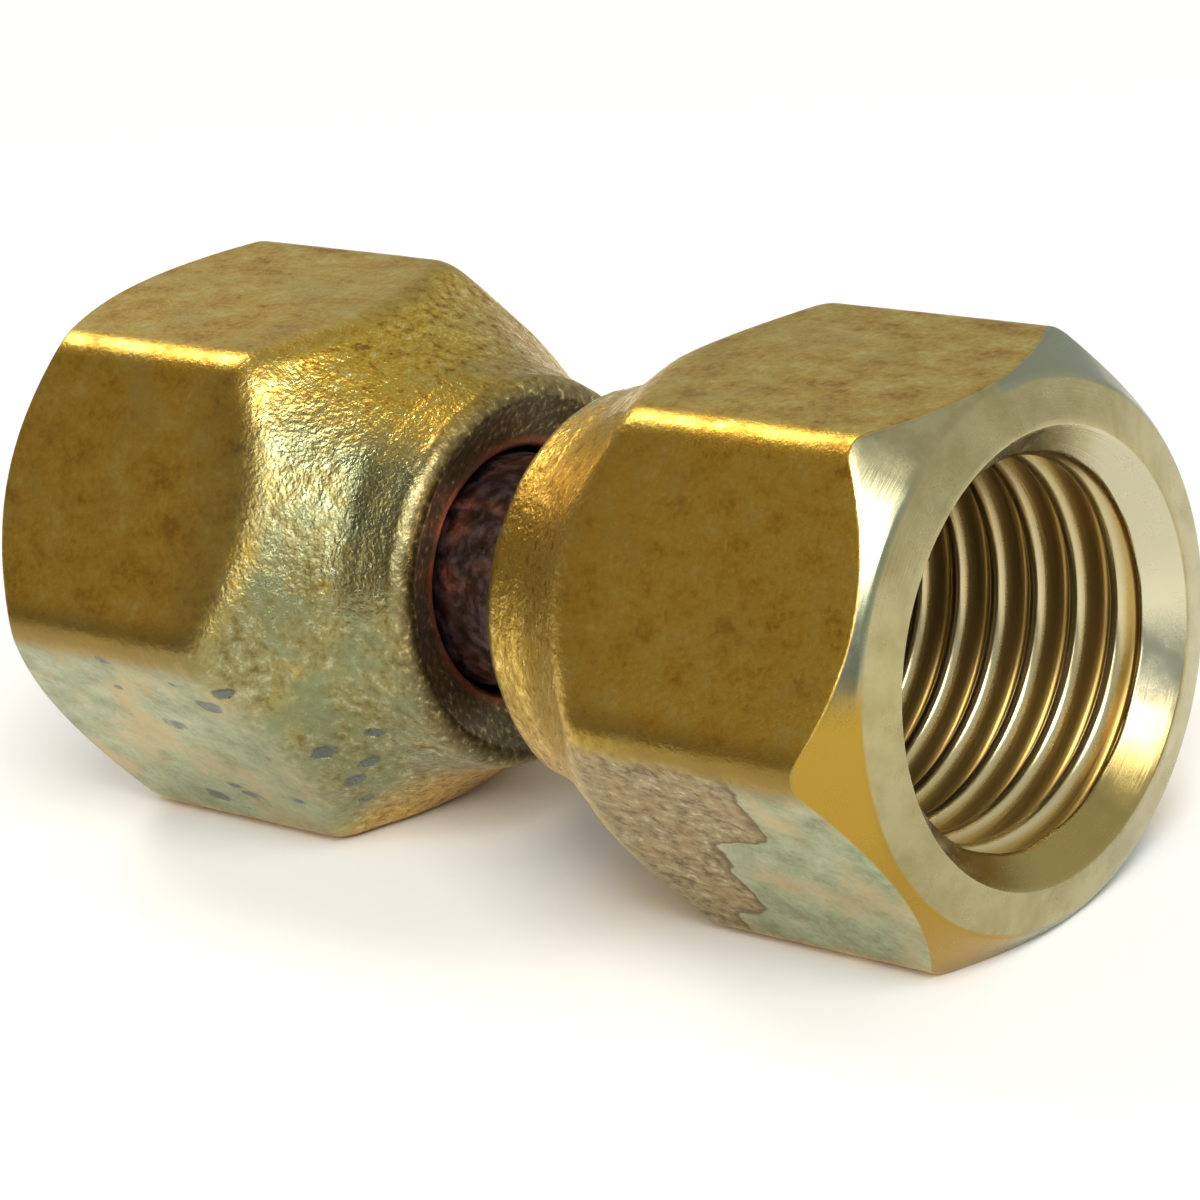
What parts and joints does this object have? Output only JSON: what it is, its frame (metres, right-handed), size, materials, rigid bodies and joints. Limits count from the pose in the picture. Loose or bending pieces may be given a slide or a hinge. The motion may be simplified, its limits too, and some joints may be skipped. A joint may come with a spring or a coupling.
{
  "type": "swivel union fitting",
  "caption": "Swivel union: two female flare hex nuts held face to face on a short copper tube flared at both ends.",
  "frame": {"origin": "on the tube's axis, midway between the two nuts", "axes": "+X along the tube towards the right nut's open end, +Z square to a flat of both nuts"},
  "size_m": [0.0312, 0.0162, 0.0142],
  "materials": {
    "nut_brass": "satin",
    "tube_copper": "satin"
  },
  "bodies": {
    "tube": {"flared_tube": "tube_copper"},
    "right_nut": {"right_nut": "nut_brass"},
    "left_nut": {"left_nut": "nut_brass"}
  },
  "joints": [
    {"name": "right_swivel", "type": "hinge", "parent": "tube", "child": "right_nut", "pos_m": [0.0025, 0, 0], "axis": [1, 0, 0], "continuous": true},
    {"name": "left_swivel", "type": "hinge", "parent": "tube", "child": "left_nut", "pos_m": [-0.0025, 0, 0], "axis": [1, 0, 0], "continuous": true}
  ]
}
